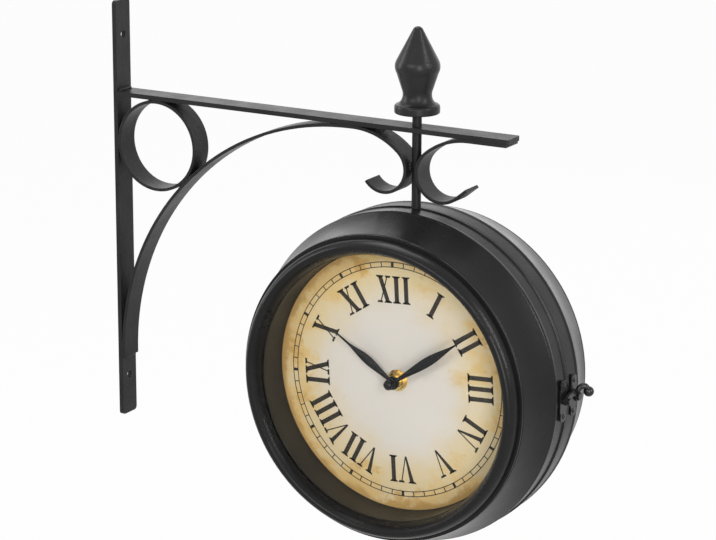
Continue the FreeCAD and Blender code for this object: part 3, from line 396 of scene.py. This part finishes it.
def old_paper(name, centre, out):
    """Aged paper print: tone by distance from the centre, broken up by stains and fibres.
    The sheet's back and rim, away from out, are left in plain grey primer."""
    material = bpy.data.materials.new(name)
    material.use_nodes = True
    tree = material.node_tree
    shader = tree.nodes["Principled BSDF"]
    shader.inputs["Roughness"].default_value = 0.62
    shader.inputs["Specular IOR Level"].default_value = 0.3
    place = tree.nodes.new("ShaderNodeTexCoord")
    shift = tree.nodes.new("ShaderNodeMapping")
    shift.inputs["Location"].default_value = -centre
    tree.links.new(place.outputs["Object"], shift.inputs["Vector"])
    away = node_at(tree, "ShaderNodeVectorMath", operation="LENGTH")
    tree.links.new(shift.outputs["Vector"], away.inputs[0])

    def noise(scale, detail, rough, stretch=(1, 1, 1)):
        pull = tree.nodes.new("ShaderNodeMapping")
        pull.inputs["Scale"].default_value = stretch
        field = node_at(tree, "ShaderNodeTexNoise", Scale=scale, Detail=detail, Roughness=rough)
        tree.links.new(shift.outputs["Vector"], pull.inputs["Vector"])
        tree.links.new(pull.outputs["Vector"], field.inputs["Vector"])
        return field.outputs["Fac"]

    def sum_of(a, b, gain, offset):
        scaled = node_at(tree, "ShaderNodeMath", operation="MULTIPLY_ADD")
        scaled.inputs[1].default_value = gain
        scaled.inputs[2].default_value = offset
        tree.links.new(b, scaled.inputs[0])
        added = node_at(tree, "ShaderNodeMath", operation="ADD")
        tree.links.new(a, added.inputs[0])
        tree.links.new(scaled.outputs[0], added.inputs[1])
        return added.outputs[0]

    def layer(below, above, share):
        mix = tree.nodes.new("ShaderNodeMix")
        mix.data_type = "RGBA"
        tree.links.new(share, mix.inputs["Factor"])
        if isinstance(below, tuple):
            mix.inputs["A"].default_value = (*below, 1)
        else:
            tree.links.new(below, mix.inputs["A"])
        if isinstance(above, tuple):
            mix.inputs["B"].default_value = (*above, 1)
        else:
            tree.links.new(above, mix.inputs["B"])
        return mix.outputs["Result"]

    def span(value, low, high):
        stretch = node_at(tree, "ShaderNodeMapRange", interpolation_type="SMOOTHSTEP")
        stretch.inputs["From Min"].default_value = low
        stretch.inputs["From Max"].default_value = high
        tree.links.new(value, stretch.inputs["Value"])
        return stretch.outputs["Result"]

    broad = noise(26.0, 4.0, 0.55)
    blotch = noise(55.0, 7.0, 0.66)
    other = noise(33.0, 5.0, 0.60, (1.0, 1.0, 1.3))
    fibre = noise(900.0, 4.0, 0.6, (1, 1, 0.35))
    ragged = sum_of(away.outputs["Value"], broad, 0.050, -0.025)
    ochre = layer((0.84, 0.79, 0.715), (0.85, 0.69, 0.40), span(ragged, 0.036, 0.074))
    gold = layer(ochre, (0.85, 0.60, 0.25), span(sum_of(ragged, other, 0.16, -0.080),
                                                0.066, 0.092))
    rust = layer(gold, (0.70, 0.43, 0.13), span(sum_of(ragged, blotch, 0.20, -0.100),
                                               0.084, 0.112))
    edge = layer(rust, (0.62, 0.38, 0.12), span(sum_of(away.outputs["Value"], blotch, 0.02, -0.01),
                                               0.0825, 0.0870))
    # a thin grey wash over the middle, patchy and little more than a third of full strength
    grey = layer(edge, (0.60, 0.56, 0.50), span(sum_of(other, away.outputs["Value"], -4.0, 0.0),
                                               0.36, 0.60))
    wash = layer((0, 0, 0), (0.35, 0.35, 0.35), span(blotch, 0.42, 0.66))
    aged = layer(edge, grey, wash)
    fleck = layer(aged, (0.60, 0.47, 0.30), span(fibre, 0.62, 0.86))
    primer = layer((0.30, 0.30, 0.29), (0.38, 0.38, 0.37), span(other, 0.35, 0.65))
    facing = node_at(tree, "ShaderNodeVectorMath", operation="DOT_PRODUCT")
    facing.inputs[1].default_value = (0, out, 0)
    tree.links.new(place.outputs["Normal"], facing.inputs[0])
    printed = layer(primer, fleck, span(facing.outputs["Value"], 0.4, 0.6))
    tree.links.new(printed, shader.inputs["Base Color"])
    press = tree.nodes.new("ShaderNodeBump")
    press.inputs["Strength"].default_value = 0.08
    press.inputs["Distance"].default_value = 0.0001
    tree.links.new(fibre, press.inputs["Height"])
    tree.links.new(press.outputs["Normal"], shader.inputs["Normal"])
    return material


def print_and_painted_shade_ink():
    """Brown black ink, matt, its tone broken by a fine grain."""
    material = bpy.data.materials.new("print_and_painted_shade_ink")
    material.use_nodes = True
    tree = material.node_tree
    shader = tree.nodes["Principled BSDF"]
    shader.inputs["Roughness"].default_value = 0.6
    place = tree.nodes.new("ShaderNodeTexCoord")
    grain = node_at(tree, "ShaderNodeTexNoise", Scale=700.0, Detail=4.0, Roughness=0.6)
    tree.links.new(place.outputs["Object"], grain.inputs["Vector"])
    tone = ramp_between(tree, grain.outputs["Fac"], (0.016, 0.011, 0.006), (0.030, 0.022, 0.013))
    tree.links.new(tone.outputs["Color"], shader.inputs["Base Color"])
    return material


# the same ink also draws the painted shade line at the dial's rim
ink = print_and_painted_shade_ink()
letter_height = 0.0176
letter_foot = 0.0500
heavy, fine, serif_thick = 0.0030, 0.0008, 0.0007


def letter_strokes(letter):
    """A capital's polygons round x = 0, foot at y = 0, and its width with serifs."""
    top = letter_height
    half = heavy / 2

    def serif(x, y, reach, way):
        return [(x - reach, y), (x + reach, y), (x + reach * 0.92, y + way * serif_thick),
                (x + half, y + way * serif_thick * 2.0), (x - half, y + way * serif_thick * 2.0),
                (x - reach * 0.92, y + way * serif_thick)]

    if letter == "I":
        return [[(-half, 0), (half, 0), (half, top), (-half, top)],
                serif(0, 0, 0.0029, 1), serif(0, top, 0.0029, -1)], 0.0068
    if letter == "V":
        lean = 0.0039
        return [[(-lean - half, top), (-lean + half, top), (half * 0.55, 0), (-half * 0.25, 0)],
                [(lean - fine / 2, top), (lean + fine / 2, top), (half * 0.5, 0), (0, 0)],
                serif(-lean, top, 0.0029, -1), serif(lean, top, 0.0022, -1)], 0.0120
    lean = 0.0027
    return [[(-lean - half, top), (-lean + half, top), (lean + half, 0), (lean - half, 0)],
            [(lean - fine / 2, top), (lean + fine / 2, top), (-lean + fine / 2, 0),
             (-lean - fine / 2, 0)],
            serif(-lean, top, 0.0028, -1), serif(lean + 0.0003, top, 0.0020, -1),
            serif(lean, 0, 0.0028, 1), serif(-lean - 0.0003, 0, 0.0020, 1)], 0.0112


def numeral_polygons(word, hour):
    """The strokes of one numeral, standing round the dial with its foot to the centre."""
    letters = [letter_strokes(letter) for letter in word]
    total = sum(width for strokes, width in letters)
    at = -total / 2
    turn = -2 * math.pi * hour / 12
    polygons = []
    for strokes, width in letters:
        middle = at + width / 2
        at += width
        for stroke in strokes:
            polygons.append([((x + middle) * math.cos(turn) - (y + letter_foot) * math.sin(turn),
                              (x + middle) * math.sin(turn) + (y + letter_foot) * math.cos(turn))
                             for x, y in stroke])
    return polygons


def track_polygons():
    """Two thin circles with a tick between them for each minute, heavier each fifth."""
    polygons = []
    inner, outer, line = 0.0734, 0.0766, 0.00055
    steps = 240
    for radius in (inner, outer):
        for k in range(steps):
            a, b = (2 * math.pi * n / steps for n in (k, k + 1))
            polygons.append([(r * math.sin(t), r * math.cos(t))
                             for r, t in ((radius - line / 2, a), (radius + line / 2, a),
                                          (radius + line / 2, b), (radius - line / 2, b))])
    for minute in range(60):
        turn = 2 * math.pi * minute / 60
        half = 0.00095 if minute % 5 == 0 else 0.00032
        ends = (inner - line / 2, outer + line / 2) if minute % 5 == 0 else (inner, outer)
        polygons.append([(r * math.sin(turn) + s * math.cos(turn),
                          r * math.cos(turn) - s * math.sin(turn))
                         for r, s in ((ends[0], -half), (ends[1], -half), (ends[1], half),
                                      (ends[0], half))])
    return polygons


def rim_shade_polygons():
    """A painted shade line: a dark ring at the dial's rim, where the dial goes under the ring
    round it.
    """
    steps = 240
    inner, outer = dial_radius - 0.0007, dial_radius - 0.00005
    return [[(r * math.sin(t), r * math.cos(t))
             for r, t in ((inner, a), (outer, a), (outer, b), (inner, b))]
            for a, b in ((2 * math.pi * k / steps, 2 * math.pi * (k + 1) / steps)
                         for k in range(steps))]


def print_and_painted_shade_on_dial(name, polygons, side, body, rise):
    """Thin ink on a dial for print and painted shade: polygons seen from outside, x right and y
    up.
    """
    low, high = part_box(side + "_dial")
    face = low.y if side == "front" else high.y
    out = -1 if side == "front" else 1
    right = -out
    turn = print_turn[side]
    level = face + out * rise
    shape = bmesh.new()
    for polygon in polygons:
        corners = []
        for x, y in polygon:
            across = x * math.cos(turn) - y * math.sin(turn)
            up = x * math.sin(turn) + y * math.cos(turn)
            corners.append((drum_centre.x + right * across, level, drum_centre.z + up))
        under = [shape.verts.new((x, y - out * rise, z)) for x, y, z in corners]
        over = [shape.verts.new(corner) for corner in corners]
        shape.faces.new(over)
        for k in range(len(over)):
            following = (k + 1) % len(over)
            shape.faces.new((under[k], under[following], over[following], over[k]))
    bmesh.ops.recalc_face_normals(shape, faces=shape.faces)
    flipped = [f for f in shape.faces if abs(f.normal.y) > 0.9 and f.normal.y * out < 0]
    bmesh.ops.reverse_faces(shape, faces=flipped)
    mesh = bpy.data.meshes.new(name)
    shape.to_mesh(mesh)
    shape.free()
    return add_piece(name, mesh, body, ink, smooth=False)


numerals = ("XII", "I", "II", "III", "IV", "V", "VI", "VII", "VIII", "IX", "X", "XI")
for side, body in (("front", "front_door"), ("rear", "bracket")):
    outward = -1 if side == "front" else 1
    dress(old_paper(side + "_paper", drum_centre, outward), side + "_dial")
    shapes = [p for hour, word in enumerate(numerals) for p in numeral_polygons(word, hour)]
    print_and_painted_shade_on_dial(side + "_numerals", shapes, side, body, 0.00006)
    print_and_painted_shade_on_dial(side + "_minute_track", track_polygons(), side, body, 0.00006)
    # painted shade: a dark ink ring at the rim, standing for the shade where the dial goes under
    # the ring
    print_and_painted_shade_on_dial(side + "_dial_rim_painted_shade", rim_shade_polygons(), side, body, 0.00004)

# ---------------------------------------------------------------- posts and screws
# Four turned posts stand on the flange inside each case. Slotted steel screws go into them
# from behind the dial and clamp the dial and the ring's flange.

bright_steel = worked_metal("bright_steel", (0.45, 0.45, 0.46), (0.62, 0.62, 0.62), 0.22, 0.4,
                            420.0, (1, 0.2, 1))
dress(bright_steel, "front_dial_posts", "rear_dial_posts", "front_dial_screws", "rear_dial_screws")

# ---------------------------------------------------------------- movement, cell and set knob
# A quartz movement in a box moulded of black plastic, held to the dial by its threaded bush.
# One cell lies in a bay in its back, and a small round knob there sets the hands.


def moulding(name, dark, light):
    """Black moulded plastic with a fine spark-eroded grain."""
    material = bpy.data.materials.new(name)
    material.use_nodes = True
    tree = material.node_tree
    shader = tree.nodes["Principled BSDF"]
    place = tree.nodes.new("ShaderNodeTexCoord")
    grain = node_at(tree, "ShaderNodeTexNoise", Scale=2600.0, Detail=3.0, Roughness=0.6)
    cloud = node_at(tree, "ShaderNodeTexNoise", Scale=60.0, Detail=4.0, Roughness=0.5)
    tree.links.new(place.outputs["Object"], grain.inputs["Vector"])
    tree.links.new(place.outputs["Object"], cloud.inputs["Vector"])
    tone = ramp_between(tree, cloud.outputs["Fac"], dark, light)
    gloss = ramp_between(tree, grain.outputs["Fac"], (0.48,) * 3, (0.62,) * 3)
    dimple = tree.nodes.new("ShaderNodeBump")
    dimple.inputs["Strength"].default_value = 0.3
    dimple.inputs["Distance"].default_value = 0.0001
    tree.links.new(grain.outputs["Fac"], dimple.inputs["Height"])
    tree.links.new(tone.outputs["Color"], shader.inputs["Base Color"])
    tree.links.new(gloss.outputs["Color"], shader.inputs["Roughness"])
    tree.links.new(dimple.outputs["Normal"], shader.inputs["Normal"])
    return material


black_plastic = moulding("black_plastic", (0.014, 0.014, 0.014), (0.022, 0.022, 0.022))
dress(black_plastic, "front_movement", "rear_movement", "front_set_knob", "rear_set_knob")

# the cell's jacket is dark with a copper coloured end, as many plain cells are
for side in ("front", "rear"):
    low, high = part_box(side + "_cell")
    jacket = bpy.data.materials.new(side + "_cell_jacket")
    jacket.use_nodes = True
    tree = jacket.node_tree
    shader = tree.nodes["Principled BSDF"]
    shader.inputs["Roughness"].default_value = 0.28
    place = tree.nodes.new("ShaderNodeTexCoord")
    split = tree.nodes.new("ShaderNodeSeparateXYZ")
    copper_share = node_at(tree, "ShaderNodeMapRange")
    copper_from = low.x + (high.x - low.x) * (0.3 if side == "front" else 0.7)
    copper_share.inputs["From Min"].default_value = copper_from - 0.0001
    copper_share.inputs["From Max"].default_value = copper_from + 0.0001
    copper_share.inputs["To Min"].default_value = 1.0 if side == "front" else 0.0
    copper_share.inputs["To Max"].default_value = 0.0 if side == "front" else 1.0
    stain = node_at(tree, "ShaderNodeTexNoise", Scale=160.0, Detail=4.0, Roughness=0.5)
    dark = ramp_between(tree, stain.outputs["Fac"], (0.018, 0.02, 0.024), (0.03, 0.032, 0.036))
    copper = ramp_between(tree, stain.outputs["Fac"], (0.52, 0.26, 0.12), (0.62, 0.33, 0.17))
    jacket_mix = tree.nodes.new("ShaderNodeMix")
    jacket_mix.data_type = "RGBA"
    tree.links.new(place.outputs["Object"], split.inputs["Vector"])
    tree.links.new(place.outputs["Object"], stain.inputs["Vector"])
    tree.links.new(split.outputs["X"], copper_share.inputs["Value"])
    tree.links.new(copper_share.outputs["Result"], jacket_mix.inputs["Factor"])
    tree.links.new(dark.outputs["Color"], jacket_mix.inputs["A"])
    tree.links.new(copper.outputs["Color"], jacket_mix.inputs["B"])
    tree.links.new(jacket_mix.outputs["Result"], shader.inputs["Base Color"])
    tree.links.new(copper_share.outputs["Result"], shader.inputs["Metallic"])
    dress(jacket, side + "_cell")

# ---------------------------------------------------------------- bush, nut, pipes and hands
# Turned brass holds the movement to the dial. The leaf hands are pressed with a ridge along
# the middle and lacquered black; a black cap nut holds them on.

turned_brass = worked_metal("turned_brass", (0.66, 0.47, 0.17), (0.83, 0.62, 0.27), 0.2, 0.36,
                            650.0, (1, 0.3, 1))
hand_lacquer = satin_paint("hand_lacquer", (0.005, 0.005, 0.005), (0.009, 0.009, 0.009),
                           0.26, 0.38, 1700.0, 0.12, edge=0.0002)
for side in ("front", "rear"):
    dress(turned_brass, *(side + "_" + name for name in (
        "bush", "dial_nut", "dial_washer", "hour_pipe", "minute_arbor")))
    dress(hand_lacquer, *(side + "_" + name for name in ("hour_hand", "minute_hand", "hand_cap")))

# ---------------------------------------------------------------- hinge, latch and rivets
# Small pressed plates riveted to the flat bands and sprayed with the drum. The hook is cast
# with a round ball on its horn, and the hinge turns on a plated pin.

fitting_paint = satin_paint("fitting_paint", (0.006, 0.006, 0.006), (0.010, 0.010, 0.010),
                            0.18, 0.30, 1500.0, 0.3, edge=0.0003, shine=0.3)
dress(fitting_paint, "front_hinge_leaf", "rear_hinge_leaf", "hook_plate", "keeper_plate",
      "hook_pivot", "keeper_stud", "latch_hook", "front_rivets", "rear_rivets")
dress(zinc_plate, "hinge_pin")
